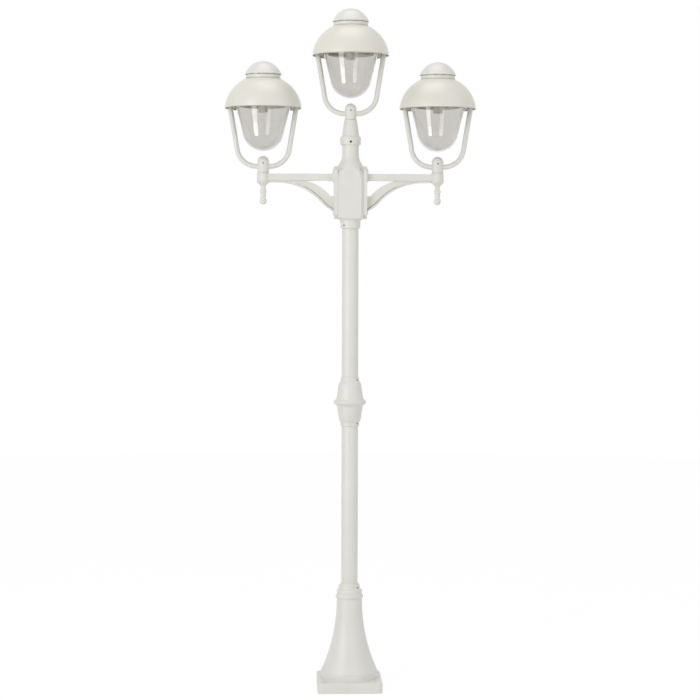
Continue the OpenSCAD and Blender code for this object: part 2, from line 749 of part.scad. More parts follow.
module glass_bell() color("#cfd2d0", 0.4) turned(concat(
    arc([0, bowl_z], glass_r, -90, -glass_taper, 16),
    [[bell_r(glass_top - glass_wall), glass_top - glass_wall],
     [flange_r, glass_top - glass_wall], [flange_r, glass_top],
     [bell_r(glass_top) - glass_wall / cos(glass_taper), glass_top]],
    arc([0, bowl_z], glass_r - glass_wall, -glass_taper, -90, 16)));

module gasket() color("#2b2b2b") translate([0, 0, glass_top])
    pipe(flange_r, flange_r - 10, gasket_t);

module gallery() color(STEEL) difference() {
    union() {
        translate([0, 0, shoulder_z - gallery_t])
            pipe(gallery_r, gallery_open_r, gallery_t);
        translate([0, 0, gallery_screw_z - 3])
            pipe(gallery_r, gallery_r - gallery_t, shoulder_z - gallery_screw_z + 3);
    }
    for (a = gallery_angles)
        radial(a, gallery_screw_z, 2 + thread_fit, flange_r - 8, gallery_r + 5);
}

module gallery_screws() color(STEEL) for (a = gallery_angles) {
    radial(a, gallery_screw_z, 2, flange_r - 4, gallery_r + 1);
    radial(a, gallery_screw_z, 4, gallery_r + seat_gap, gallery_r + 4.5);
}

holder_low = strap_high - holder_h;
skirt_r = holder_r - 2;
lamp_socket_r = skirt_r - holder_wall;
shoulder_r = holder_r - 7;

module lampholder() color("#e9e7e0") difference() {
    turned([[0, holder_low], [skirt_r - 0.5, holder_low], [skirt_r, holder_low + 1],
            [skirt_r, holder_low + 24], [holder_r, holder_low + 26],
            [holder_r, strap_high - 11], [holder_r - 3, strap_high - 6],
            [shoulder_r, strap_high - 4], [shoulder_r, strap_high], [0, strap_high]]);
    translate([0, 0, holder_low - 1]) cylinder(r = lamp_socket_r, h = lamp_socket_h + 1);
    translate([0, 0, strap_high - 10]) cylinder(d = stud_d + 2 * thread_fit, h = 20);
}

stud_r = stud_d / 2;
hood_top = rim_z + hood_h;
// The hood's arc passes through the band's edge and the flat top's edge
hood_low = [hood_rim_r - 0.7, rim_z + hood_band];
hood_high = [hood_top_r, hood_top];
chord = hood_high - hood_low;
arc_c = (hood_low + hood_high) / 2 + [-chord[1], chord[0]] / norm(chord)
    * sqrt(pow(hood_arc_r, 2) - pow(norm(chord) / 2, 2));
arc_start = asin((hood_low[1] - arc_c[1]) / hood_arc_r);
arc_stop = asin((hood_high[1] - arc_c[1]) / hood_arc_r);
hood_under = hood_top - hood_wall;
nut_h = 6.5;
vent_top = hood_top + vent_h;
cap_top = vent_top + cap_h;
stud_tip = cap_top - stud_short;

module stud() color(STEEL) translate([0, 0, strap_high - 9])
    cylinder(r = stud_r, h = stud_tip - strap_high + 9);

module lock_nuts() color(STEEL) {
    for (x = [-1, 1]) translate([x * shoulder_x, 0, shoulder_z + strap_t])
        rotate(30) hex_nut(17, nipple_r + thread_fit, 5);
    for (z = [strap_high + strap_t, hood_under - seat_gap - nut_h])
        translate([0, 0, z]) hex_nut(13, stud_r + thread_fit, nut_h);
}

module hood() color(WHITE) difference() {
    turned(concat(
        [[hood_rim_r - hood_wall - 0.7, rim_z], [hood_rim_r - 0.5, rim_z],
         [hood_rim_r, rim_z + 0.5], [hood_rim_r, rim_z + hood_band - 0.5]],
        arc(arc_c, hood_arc_r, arc_start, arc_stop, 24),
        [[0, hood_top], [0, hood_under]],
        arc(arc_c, hood_arc_r - hood_wall,
            asin((hood_under - arc_c[1]) / (hood_arc_r - hood_wall)), arc_start, 24)));
    translate([0, 0, hood_under - 1]) cylinder(r = stud_r + 0.6, h = hood_wall + 2);
    for (i = [0:7]) rotate(45 * i + 22.5) translate([hood_top_r * 0.6, 0, hood_under - 1])
        cylinder(r = vent_hole_r, h = hood_wall + 2);
}

vent_r = hood_top_r - vent_in;

module vent_ring() color(WHITE) translate([0, 0, hood_top]) difference() {
    pipe(vent_r, vent_r - vent_wall, vent_h);
    for (i = [0:vent_posts - 1]) rotate(360 / vent_posts * (i + 0.5))
        translate([vent_r - 10, -0.2 * 2 * PI * vent_r / vent_posts, 1.5])
            cube([20, 0.4 * 2 * PI * vent_r / vent_posts, vent_h - 3]);
}

cap_rim_r = vent_r + cap_over;
// The dome's arc starts at the cap's rim, 1 mm over the vent ring
dome_foot_r = cap_rim_r - 0.3;
dome_h = cap_h - 1;
cap_dome_r = (dome_foot_r * dome_foot_r + dome_h * dome_h) / (2 * dome_h);
dome_z = cap_top - cap_dome_r;
ledge_r = vent_r - 2;
ledge_z = vent_top + seat_gap;

module cap() color(WHITE) difference() {
    union() {
        turned(concat(
            [[vent_r + 2, vent_top - 2], [cap_rim_r - 0.5, vent_top - 2],
             [cap_rim_r, vent_top - 1.5], [cap_rim_r, vent_top + 0.6]],
            arc([0, dome_z], cap_dome_r, acos(dome_foot_r / cap_dome_r), 90, 18),
            arc([0, dome_z], cap_dome_r - cap_wall, 90,
                asin((ledge_z + cap_wall - dome_z) / (cap_dome_r - cap_wall)), 18),
            [[ledge_r, ledge_z + cap_wall], [ledge_r, ledge_z],
             [vent_r + 2, ledge_z]]));
        translate([0, 0, vent_top + 5])
            cylinder(r = stud_r + 5, h = cap_h - cap_wall / 2 - 5);
    }
    translate([0, 0, vent_top])
        cylinder(r = stud_r + thread_fit, h = stud_tip + 2 - vent_top);
}

// ------------------------------------------------------------------ nodes

base_casting();
lower_pole();
knop_sleeve();
upper_pole();
base_screws();
knop_screws();
crosshead_casting();
crosshead_screws();
terminal_block();
left_arm();
right_arm();
arm_screws();
top_adapter();
left_finial();
right_finial();
for (h = HEADS) translate([h[1], 0, h[2]]) {
    yoke();
    boss_screw();
    carrier();
    lock_nuts();
    gallery();
    gallery_screws();
    gasket();
    glass_bell();
    lampholder();
    stud();
    hood();
    vent_ring();
    cap();
}
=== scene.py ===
# %% [markdown]
# # A triple head lamp post
# This lesson dresses a garden lamp post: a square foot, a round pole with a
# knop, a crosshead with two bracket arms, and three hooded glass heads on
# forked yokes. The solid model is loaded first and stays where it is. Each
# piece that we make stands exactly where its solid stands.

# %% Load the solid model
import json
import math

import bpy
import numpy as np
from mathutils import Matrix, Vector


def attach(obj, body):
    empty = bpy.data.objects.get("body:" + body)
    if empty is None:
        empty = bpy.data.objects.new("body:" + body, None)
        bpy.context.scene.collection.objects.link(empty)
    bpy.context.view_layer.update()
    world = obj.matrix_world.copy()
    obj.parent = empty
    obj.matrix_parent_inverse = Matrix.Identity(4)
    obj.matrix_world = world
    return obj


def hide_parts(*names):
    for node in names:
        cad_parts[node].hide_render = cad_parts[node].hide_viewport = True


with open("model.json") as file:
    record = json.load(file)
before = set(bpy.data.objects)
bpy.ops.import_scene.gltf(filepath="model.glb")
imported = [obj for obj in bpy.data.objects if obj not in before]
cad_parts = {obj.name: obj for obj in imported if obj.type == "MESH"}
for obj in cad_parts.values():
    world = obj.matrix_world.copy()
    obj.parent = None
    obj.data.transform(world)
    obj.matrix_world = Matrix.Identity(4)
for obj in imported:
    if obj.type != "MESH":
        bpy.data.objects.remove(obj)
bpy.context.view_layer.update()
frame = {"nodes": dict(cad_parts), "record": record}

nodes = frame["nodes"]

# %% [markdown]
# ## Colours, nodes and finishes
# A real finish has a colour, a gloss and a fine relief. Each material below is
# named for what it is on the object, its colours are written as sRGB hex values,
# and its relief is noise whose scale is worked out from a size in millimetres.

# %% Small helpers for materials
def srgb(text):
    """A hex colour turned to linear light: ((c + 0.055) / 1.055) ^ 2.4."""
    c = np.array([int(text[i:i + 2], 16) for i in (1, 3, 5)]) / 255
    linear = np.where(c < 0.04045, c / 12.92, ((c + 0.055) / 1.055) ** 2.4)
    return (*linear.tolist(), 1.0)


def add(tree, kind, settings=(), **links):
    """Adds one node. settings are (name, value) pairs for its sockets or fields."""
    node = tree.nodes.new(kind)
    for name, value in dict(settings).items():
        if name in node.inputs:
            node.inputs[name].default_value = value
        else:
            setattr(node, name, value)
    for name, source in links.items():
        tree.links.new(source, node.inputs[name.replace("_", " ")])
    return node


def new_material(name):
    """An empty material with its Principled shader, ready for nodes."""
    material = bpy.data.materials.new(name)
    material.use_nodes = True
    tree = material.node_tree
    shader = tree.nodes["Principled BSDF"]
    place = add(tree, "ShaderNodeTexCoord").outputs["Object"]
    return material, tree, shader, place


def noise(tree, place, size_mm, detail=3.0, rough=0.5):
    """Noise whose blobs are about size_mm across: a scale of 1000 / size in metres."""
    return add(tree, "ShaderNodeTexNoise",
               {"Scale": 1000 / size_mm, "Detail": detail, "Roughness": rough},
               Vector=place).outputs["Fac"]


def blend(tree, amount, low, high, start=0.35, end=0.65):
    """A colour ramp from low to high between two values of amount."""
    ramp = add(tree, "ShaderNodeValToRGB", Fac=amount)
    ramp.color_ramp.elements[0].position = start
    ramp.color_ramp.elements[1].position = end
    ramp.color_ramp.elements[0].color = srgb(low)
    ramp.color_ramp.elements[1].color = srgb(high)
    return ramp.outputs["Color"]


def relief(tree, shader, height, depth_mm, strength=0.4):
    """Fine relief on the shader's normal, depth_mm deep."""
    bump = add(tree, "ShaderNodeBump",
               {"Strength": strength, "Distance": depth_mm / 1000}, Height=height)
    tree.links.new(bump.outputs["Normal"], shader.inputs["Normal"])


print("mid grey #808080 is", round(srgb("#808080")[0], 3), "in linear light")

# %% [markdown]
# ## Powder coat
# Polyester powder is sprayed on dry and baked, so it flows into a skin about
# 0.08 mm thick with a faint "orange peel". Over a sand casting the grain of the
# mould still shows through; over drawn tube and spun sheet it is smoother. Inside
# the hoods the coat is painted a darker grey, as painted shade where little light falls.

# %% Powder coat on castings, tube and spun sheet
def powder_coat(name, tint, shade, peel_mm, grain_mm, rough):
    """White polyester powder: slow tint changes, orange peel, and the metal's grain."""
    material, tree, shader, place = new_material(name)
    cloud = noise(tree, place, size_mm=90, detail=4.0, rough=0.55)
    tree.links.new(blend(tree, cloud, shade, tint, start=0.3, end=0.7),
                   shader.inputs["Base Color"])
    peel = noise(tree, place, peel_mm, detail=2.0)
    grain = noise(tree, place, grain_mm, detail=5.0, rough=0.6)
    both = add(tree, "ShaderNodeMath", {"operation": "ADD"})
    tree.links.new(peel, both.inputs[0])
    tree.links.new(grain, both.inputs[1])
    relief(tree, shader, both.outputs[0], depth_mm=0.12, strength=0.3)
    spread = add(tree, "ShaderNodeMapRange",
                 {"To Min": rough - 0.05, "To Max": rough + 0.07}, Value=grain)
    tree.links.new(spread.outputs["Result"], shader.inputs["Roughness"])
    shader.inputs["IOR"].default_value = 1.5
    return material


# After the two colours: the size of the peel and of the grain in mm, then the roughness.
cast_coat = powder_coat("powder_coat_on_cast_aluminium", "#ecebe4", "#e7e6df", 2.6, 9.0, 0.46)
tube_coat = powder_coat("powder_coat_on_drawn_tube", "#ecebe4", "#e8e7e0", 2.2, 40.0, 0.42)
spun_coat = powder_coat("powder_coat_on_spun_aluminium", "#eceadf", "#e8e6da", 2.0, 30.0, 0.36)
cap_coat = powder_coat("powder_coat_on_spun_cap", "#ecebe5", "#e8e7e1", 2.0, 30.0, 0.36)
# A darker grey for the hoods' insides: painted shade, not a different coat.
painted_shade_coat = powder_coat("painted_shade_inside_the_hood", "#c9c8bd", "#bdbcb1", 3.0, 25.0, 0.5)
print("powder coats:", cast_coat.name, tube_coat.name, spun_coat.name, cap_coat.name,
      painted_shade_coat.name)

# %% [markdown]
# ## Glass
# The bells are moulded clear glass with a light grey tint. What stands behind a
# bell is seen through two walls, so the tint of one wall is the square root of
# what the eye sees. A thin wall hardly bends a ray, so the body gets a low index
# and stays clear at its edge, while a coat with the true index of glass gives
# the bright reflections. Slow waves and a few upright streaks come from the mould.

# %% Moulded glass with a light grey tint
THIN_WALL_INDEX, GLASS_INDEX = 1.12, 1.5


def moulded_glass():
    """Light grey glass: tinted all through, a faint wave on the surface, a polished skin."""
    material, tree, shader, place = new_material("moulded_smoke_glass")
    streaks = add(tree, "ShaderNodeMapping", {"Scale": (1.0, 1.0, 0.12)}, Vector=place)
    wave = noise(tree, streaks.outputs["Vector"], size_mm=22, detail=2.0)
    relief(tree, shader, wave, depth_mm=0.25, strength=0.15)
    film = noise(tree, place, size_mm=14, detail=4.0, rough=0.6)
    tree.links.new(blend(tree, film, "#e1dfdb", "#e5e4e1"), shader.inputs["Base Color"])
    shader.inputs["Roughness"].default_value = 0.025
    shader.inputs["IOR"].default_value = THIN_WALL_INDEX
    shader.inputs["Transmission Weight"].default_value = 1.0
    shader.inputs["Coat Weight"].default_value = 1.0
    shader.inputs["Coat Roughness"].default_value = 0.03
    shader.inputs["Coat IOR"].default_value = GLASS_INDEX
    return material


glass = moulded_glass()
print("glass:", glass.name)

# %% [markdown]
# ## Metals, rubber and porcelain
# Small hardware is bright zinc plate or stainless steel; the grub screws are
# black oxide steel, which looks almost black in its hole. The lampholder is
# glazed porcelain, given a greyer colour than white porcelain as painted shade,
# and the seal over the glass is rubber.

# %% Hardware finishes
def bare_metal(name, light, dark, grain_mm, rough):
    """Plated or plain steel: metallic, with a spangle that varies tint and gloss."""
    material, tree, shader, place = new_material(name)
    spangle = noise(tree, place, grain_mm, detail=5.0, rough=0.6)
    tree.links.new(blend(tree, spangle, dark, light), shader.inputs["Base Color"])
    gloss = add(tree, "ShaderNodeMapRange",
                {"To Min": rough - 0.08, "To Max": rough + 0.1}, Value=spangle)
    tree.links.new(gloss.outputs["Result"], shader.inputs["Roughness"])
    shader.inputs["Metallic"].default_value = 1.0
    relief(tree, shader, spangle, depth_mm=0.05, strength=0.25)
    return material


def plain_finish(name, light, dark, size_mm, rough, depth_mm, coat=0.0):
    """Rubber, porcelain or plastic: a slightly mottled colour with a fine relief."""
    material, tree, shader, place = new_material(name)
    mottle = noise(tree, place, size_mm, detail=4.0, rough=0.6)
    tree.links.new(blend(tree, mottle, dark, light), shader.inputs["Base Color"])
    shader.inputs["Roughness"].default_value = rough
    shader.inputs["Coat Weight"].default_value = coat
    relief(tree, shader, mottle, depth_mm, strength=0.3)
    return material


# After the two colours: grain in mm, roughness and, for plain finishes, relief in mm.
zinc = bare_metal("bright_zinc_plate", "#c9ccd0", "#a9adb2", 3.0, 0.35)
stainless = bare_metal("stainless_steel", "#c4c3c0", "#aeadaa", 1.5, 0.3)
black_oxide = bare_metal("black_oxide_steel", "#2c2c2e", "#1c1c1e", 1.2, 0.45)
rubber = plain_finish("moulded_rubber", "#2a2a2a", "#1d1d1d", 2.0, 0.75, 0.08)
# Greyer than white porcelain: painted shade for the lampholder deep inside the hood.
porcelain = plain_finish("porcelain_with_painted_shade", "#c2beb4", "#b5b1a7", 8.0, 0.22, 0.04, 0.6)
terminal_plastic = plain_finish("moulded_black_plastic", "#303234", "#232527", 1.5, 0.5, 0.06)
print("hardware finishes:", zinc.name, stainless.name, black_oxide.name, rubber.name,
      porcelain.name, terminal_plastic.name)

# %% [markdown]
# ## Making surfaces
# Almost everything here is turned on a lathe, drawn along a path or cut from
# plate. So three small functions are enough: one turns a profile about an
# upright line, one carries a ring along a path, and one pushes an outline
# through a thickness. Each returns points in millimetres and faces.

# %% Profiles in millimetres
def arc(cx, cz, r, a, b, n=16):
    """n points on the circle of radius r round (cx, cz), from a to b degrees."""
    t = np.radians(np.linspace(a, b, n))
    return np.column_stack([cx + r * np.cos(t), cz + r * np.sin(t)])


def eased(line, reach=1.5, steps=5, loop=False):
    """Each corner over 14 degrees becomes a parabola: (1-s)^2 A + 2 s (1-s) P + s^2 B.

    A and B lie on the two sides of the corner P, at most reach away from it."""
    p = np.asarray(line, float)
    back, fore = np.roll(p, 1, 0) - p, np.roll(p, -1, 0) - p
    back_len = np.maximum(np.linalg.norm(back, axis=1), 1e-9)
    fore_len = np.maximum(np.linalg.norm(fore, axis=1), 1e-9)
    corner = (back * fore).sum(1) / (back_len * fore_len) > -math.cos(math.radians(14))
    if not loop:
        corner[[0, -1]] = False
    d = np.where(corner, np.minimum(reach, 0.45 * np.minimum(back_len, fore_len)), 0.0)
    a = p + back * (d / back_len)[:, None]
    b = p + fore * (d / fore_len)[:, None]
    s = np.linspace(0, 1, steps)[None, :, None]
    curve = (1 - s) ** 2 * a[:, None] + 2 * s * (1 - s) * p[:, None] + s ** 2 * b[:, None]
    flat = curve.reshape(-1, 2)
    fresh = np.append(True, np.abs(np.diff(flat, axis=0)).sum(1) > 1e-6)
    return flat[fresh]


print("a square corner eased by 1 mm gets", len(eased([(0, 9), (0, 0), (9, 0)], 1.0)), "points")


# %% Surfaces from rings
def skin(rings, loop=False):
    """Joins rings of points, rings[i, j], by four-sided faces; ends close in a fan."""
    m, n = rings.shape[:2]
    ids = np.arange(m * n).reshape(m, n)
    low = ids if loop else ids[:-1]
    up = np.roll(ids, -1, 0) if loop else ids[1:]
    faces = np.stack([low, np.roll(low, -1, 1), np.roll(up, -1, 1), up], -1)
    faces = faces.reshape(-1, 4).tolist()
    points = rings.reshape(-1, 3)
    if not loop:
        points = np.vstack([points, rings[0].mean(0), rings[-1].mean(0)])
        faces += np.column_stack([np.roll(ids[0], -1), ids[0], np.full(n, m * n)]).tolist()
        faces += np.column_stack([ids[-1], np.roll(ids[-1], -1),
                                  np.full(n, m * n + 1)]).tolist()
    return points, faces


def turned(line, x=0.0, around=144, loop=False):
    """Point (r, z) of the profile at angle t lies at (x + r cos t, r sin t, z)."""
    r, z = np.asarray(line, float).T
    t = np.linspace(0, 2 * np.pi, around, endpoint=False)
    rings = np.stack([x + np.outer(r, np.cos(t)), np.outer(r, np.sin(t)),
                      np.outer(z, np.ones(around))], -1)
    return skin(rings, loop)


print("a turned disc of 144 steps has", len(turned([(1, 0), (9, 0), (9, 2), (1, 2)])[1]), "faces")


# %% Rods and plates
def square_to(path):
    """Unit normals of an (x, z) line: each step turned by 90 degrees, (-dz, dx) / length."""
    step = np.gradient(path, axis=0)
    step /= np.linalg.norm(step, axis=1)[:, None]
    return np.column_stack([-step[:, 1], step[:, 0]])


def rod(path, r, around=40):
    """A round rod: ring point = path point + r (cos u N - sin u Y), N square to the path."""
    p = np.asarray(path, float)
    normal = square_to(p)
    u = np.linspace(0, 2 * np.pi, around, endpoint=False)
    ring_x = p[:, :1] + r * normal[:, :1] * np.cos(u)
    ring_z = p[:, 1:] + r * normal[:, 1:] * np.cos(u)
    ring_y = np.broadcast_to(-r * np.sin(u), ring_x.shape)
    return skin(np.stack([ring_x, ring_y, ring_z], -1))


def plate(outline, low, high, along):
    """An outline of (u, v) points, anticlockwise, pushed from low to high along its normal."""
    u, v = np.asarray(outline, float).T
    n = len(u)
    level = {"x": lambda w: np.column_stack([np.full(n, w), u, v]),
             "y": lambda w: np.column_stack([u, np.full(n, -w), v]),
             "z": lambda w: np.column_stack([u, v, np.full(n, w)])}[along]
    i = np.arange(n)
    j = np.roll(i, -1)
    sides = np.column_stack([i + n, i, j, j + n]).tolist()
    return np.vstack([level(low), level(high)]), sides + [(i[::-1]).tolist(), (i + n).tolist()]


def together(*shapes):
    """Several closed shapes as one list of points and one of faces."""
    points, faces, count = [], [], 0
    for shape_points, shape_faces in shapes:
        points.append(shape_points)
        faces += [[k + count for k in face] for face in shape_faces]
        count += len(shape_points)
    return np.vstack(points), faces


print("a rod of nine rings has", len(rod([(0, i) for i in range(9)], 2.0)[1]), "faces")

# %% [markdown]
# ## Making pieces
# A piece is a mesh with a finish that rides on one body and stands for one
# solid. Holes are cut with a boolean, because a hole that is modelled into a
# turned skin by hand takes far more care. Edges that a hand can feel are rounded
# with a bevel, which also catches the light.

# %% Meshes and objects
def as_mesh(name, shape):
    """A mesh in metres from points in millimetres."""
    mesh = bpy.data.meshes.new(name)
    mesh.from_pydata((np.asarray(shape[0]) / 1000).tolist(), [], shape[1])
    mesh.validate()
    return mesh


def smooth(mesh, angle=32):
    """Smooth shading, but edges sharper than the angle stay crisp."""
    mesh.shade_smooth()
    mesh.set_sharp_from_angle(angle=math.radians(angle))


def shown(name, mesh):
    """A new object with this mesh, in the scene."""
    obj = bpy.data.objects.new(name, mesh)
    bpy.context.scene.collection.objects.link(obj)
    return obj


def applied(obj):
    """The mesh of an object with its modifiers worked in; the object goes."""
    bpy.context.view_layer.update()
    done = obj.evaluated_get(bpy.context.evaluated_depsgraph_get())
    mesh = bpy.data.meshes.new_from_object(done)
    bpy.data.objects.remove(obj)
    return mesh


print("meshes are kept in metres; shapes are written in millimetres")


# %% Holes and finished pieces
def cut(name, shape, holes, crossing=False):
    """The shape less its holes; crossing says that the shape's own parts overlap."""
    obj, cutter = shown(name, as_mesh(name, shape)), shown("cutter", as_mesh("cutter", holes))
    saw = obj.modifiers.new("holes", "BOOLEAN")
    saw.object, saw.operation, saw.solver, saw.use_self = cutter, "DIFFERENCE", "EXACT", crossing
    mesh = applied(obj)
    bpy.data.objects.remove(cutter)
    return mesh


def piece(name, shape, finish, body, stands_for=(), bevel=0.0):
    """One finished piece from a shape or a mesh: softened edges, finish and body."""
    obj = shown(name, as_mesh(name, shape) if isinstance(shape, tuple) else shape)
    smooth(obj.data)
    if bevel:
        soft = obj.modifiers.new("soft edges", "BEVEL")
        soft.width, soft.segments, soft.limit_method = bevel / 1000, 3, "ANGLE"
        soft.angle_limit = math.radians(35)
    obj.data.materials.clear()
    obj.data.materials.append(finish)
    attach(obj, body)
    if stands_for:
        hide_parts(*stands_for)
    return obj


def drill(angle, z, r, start, end, x=0.0):
    """A cylinder of radius r at height z, from start to end out of the line at x."""
    u = np.linspace(0, 2 * np.pi, 32, endpoint=False)
    a = math.radians(angle)
    out, side = np.array([math.cos(a), math.sin(a), 0]), np.array([-math.sin(a), math.cos(a), 0])
    ring = r * (np.outer(np.cos(u), side) + np.outer(np.sin(u), [0, 0, 1.0]))
    rings = np.stack([ring + out * d + [x, 0, z] for d in (start, end)])
    return skin(rings)


def upright_hole(x, y, low, high, r):
    """An upright cylinder to cut a hole with."""
    shape = turned([(r, low), (r, high)], 0.0, 48)
    return shape[0] + [x, y, 0], shape[1]


print("a 6 mm drill has", len(drill(0, 0, 3, 0, 9)[1]), "faces")

# %% [markdown]
# ## The foot
# The foot is one hollow casting: a square plinth with four anchor holes, a
# drum, and a concave flare that rises to a neck with a bead and a ring. A
# modeller could subdivide a cube, but a profile turned about the pole gives the
# true curve with few numbers.

# %% Profiles of the foot
POLE_R = 30.0
SCREW_ANGLES = (-40, 140)
PLINTH_HALF, PLINTH_CORNER, ANCHOR, ANCHOR_R = 117, 18, 92, 5.5
NECK_R, FLARE_TOP, FLARE_ARC = 46, 322, 617.5


def flare(z, wall=0.0):
    """Radius at height z: neck + R - sqrt(R^2 - (top - z)^2), with R the flare's arc."""
    return NECK_R - wall + FLARE_ARC - np.sqrt(FLARE_ARC ** 2 - (FLARE_TOP - z) ** 2)


def rounded_square(half, r, z, n=14):
    """A square ring of half width half, with corners of radius r, at height z."""
    corner = arc(half - r, half - r, r, 0, 90, n)
    flip = [corner, corner[::-1] * [-1, 1], corner * [-1, -1], corner[::-1] * [1, -1]]
    ring = np.vstack(flip)
    return np.column_stack([ring, np.full(len(ring), z)])


plinth_side = [(0.8, 0.0), (0.0, 0.8), (0.0, 33.6), (0.4, 35.4), (1.4, 36.8), (2.9, 37.7),
               (4.4, 38.0)]
plinth = skin(np.stack([rounded_square(PLINTH_HALF - i, PLINTH_CORNER - i, z)
                        for i, z in plinth_side]))
height = np.linspace(62, FLARE_TOP, 60)
foot_line = np.vstack([
    [(1, 30), (104, 30), (104, 38.4), (103.4, 39.2), (103.4, 40.2), (104, 41)],
    arc(100, 58, 4, 0, 60, 6), np.column_stack([flare(height), height]), [(46, 324)],
    arc(42, 335, 8, -60, 60, 12), [(45, 344), (45, 347), (46, 348), (46, 353)],
    arc(38, 356, 7, 0, 80, 8), [(38, 363), (38, 375), (33, 380), (33, 384), (1, 384)]])
inside = np.linspace(54, 266, 30)
cavity = np.vstack([[(1, -2), (96, -2), (96, 54)], np.column_stack([flare(inside, 8), inside]),
                    [(24, 270), (24, 278), (30.1, 278), (30.1, 388), (1, 388)]])
print("flare radius at the drum", round(float(flare(62)), 1), "mm, at the neck", NECK_R, "mm")

# %% Foot casting
anchor_holes = [upright_hole(x, y, -3, 41, ANCHOR_R) for x in (-ANCHOR, ANCHOR)
                for y in (-ANCHOR, ANCHOR)]
foot_mesh = cut("foot_casting", together(plinth, turned(eased(foot_line, 0.8))),
                together(turned(cavity), *anchor_holes,
                         *[drill(a, 369, 3, 25, 43) for a in SCREW_ANGLES]), True)
foot = piece("foot_casting", foot_mesh, cast_coat, "post", ["base_casting"])
print("foot:", len(foot.data.polygons), "faces")

# %% [markdown]
# ## The pole and its knop
# Two drawn tubes meet at a stop ring inside a turned knop, which hides the joint.
# Each end of the knop is a small collar with two grub screws. Each half of the
# knop's outline is a list of points from 0 to 1, stretched to its height and
# swell, so that the same list can be tried on a taller or slimmer knop.

# %% Pole tubes
KNOP, STOP_HALF = 1043, 3
POLE_FOOT, POLE_TOP, POLE_WALL = 274, 1768.7, 3


def tube(name, low, high, node):
    """A drawn tube of the pole's radius and wall."""
    wall = [(POLE_R, low), (POLE_R, high), (POLE_R - POLE_WALL, high), (POLE_R - POLE_WALL, low)]
    return piece(name, turned(eased(wall, 0.4, 4, True), loop=True), tube_coat, "post",
                 [node])


tube("lower_pole_tube", POLE_FOOT, KNOP - STOP_HALF, "lower_pole")
tube("upper_pole_tube", KNOP + STOP_HALF, POLE_TOP, "upper_pole")
print("pole from", POLE_FOOT, "to", POLE_TOP, "mm, joint at", KNOP, "mm")

# %% Knop
KNOP_R, SWELL, KNOP_UP, KNOP_DOWN, BORE_R = 34, 15, 90, 87, 30.1
UPPER = [(1, 0.16), (0.88, 0.25), (0.79, 0.33), (0.7, 0.43), (0.64, 0.54), (0.55, 0.63),
         (0.48, 0.71), (0.3, 0.78), (0.04, 0.86), (0, 0.9), (-0.1, 1)]
LOWER = [(0.87, 0.16), (0.79, 0.25), (0.7, 0.36), (0.6, 0.46), (0.51, 0.55), (0.44, 0.63),
         (0.36, 0.71), (0.2, 0.78), (0.02, 0.84), (0, 0.87), (0, 0.97), (-0.1, 1)]
upper = [(KNOP_R + SWELL * out, KNOP_UP * up) for out, up in UPPER]
lower = [(KNOP_R + SWELL * out, KNOP_DOWN * down) for out, down in LOWER]
stop_ring = [(BORE_R, KNOP + STOP_HALF), (24, KNOP + STOP_HALF), (24, KNOP - STOP_HALF),
             (BORE_R, KNOP - STOP_HALF)]
knop_line = np.vstack([
    [(BORE_R, KNOP - KNOP_DOWN)], [(r, KNOP - z) for r, z in lower[::-1]],
    arc(49.5, KNOP, 9, -80, 80, 18), [(r, KNOP + z) for r, z in upper],
    [(BORE_R, KNOP + KNOP_UP)], stop_ring])
knop_mesh = cut("knop", turned(eased(knop_line, 2.0, 6, True), loop=True),
                together(*[drill(a, z, 3, 26, 40) for a in SCREW_ANGLES
                           for z in (KNOP - 77, KNOP + 81)]))
knop = piece("knop", knop_mesh, cast_coat, "post", ["knop_sleeve"])
print("knop:", len(knop.data.polygons), "faces")

# %% [markdown]
# ## The crosshead
# The crosshead is a sand casting: a square box with flat faces, a collar below
# and a round neck above. Its solid is already right, so a copy of it is welded,
# the triangles of each flat face are joined, and its edges are softened, as a
# foundry's pattern maker would do.

# %% Softened crosshead
CAST_EDGE, WELD_MM = 0.9, 0.002


def welded_copy(node):
    """A solid's mesh with its points welded and its flat faces whole."""
    obj = shown("welded", nodes[node].data.copy())
    weld = obj.modifiers.new("weld", "WELD")
    weld.merge_threshold = WELD_MM / 1000
    flat = obj.modifiers.new("flat", "DECIMATE")
    flat.decimate_type, flat.angle_limit = "DISSOLVE", math.radians(1.0)
    mesh = applied(obj)
    old = mesh.attributes.get("custom_normal")
    if old:
        mesh.attributes.remove(old)
    return mesh


crosshead = piece("crosshead_box", welded_copy("crosshead_casting"), cast_coat, "crosshead",
                  ["crosshead_casting"], CAST_EDGE)
print("crosshead:", len(crosshead.data.polygons), "faces")

# %% [markdown]
# ## Bracket arms
# Each arm is one casting: a wall plate with round lobes, a square bar, a curved
# web under it, and a flange that runs along the web's lower edge and narrows
# outwards. The flange's edge is half round, so it catches light above and shade
# below, and a narrow groove parts it from the web. The flange is a section
# carried along the brace's arc; the rest is cut plate. The right arm is built,
# and its mirror image is the left one.

# %% Sizes of the arm and its flange
PLATE_IN, PLATE_OUT, BAR_Z, REACH = 46, 59.4, 1856.0, 315.0
LOBE_LOW, LOBE_HIGH, LOBE_R = 1726.0, 1876.0, 20
BAR_HALF, ROOT_HALF, WEB_HALF, CORE_HALF, FLANGE_HALF = 12.5, 17.5, 8, 3, 3.25
LOWER_C, LOWER_R = (264.0, BAR_Z - 234.4), 215.0
UPPER_C, UPPER_R = (197.0, BAR_Z - 170.0), 161.0
FOOT_Z, ROOT_Z = BAR_Z - 114, BAR_Z - 68


def angle_at(centre, r, z):
    """The angle past upright at which an arc round centre reaches height z: 180 - asin(dz / r)."""
    return 180 - math.degrees(math.asin((z - centre[1]) / r))


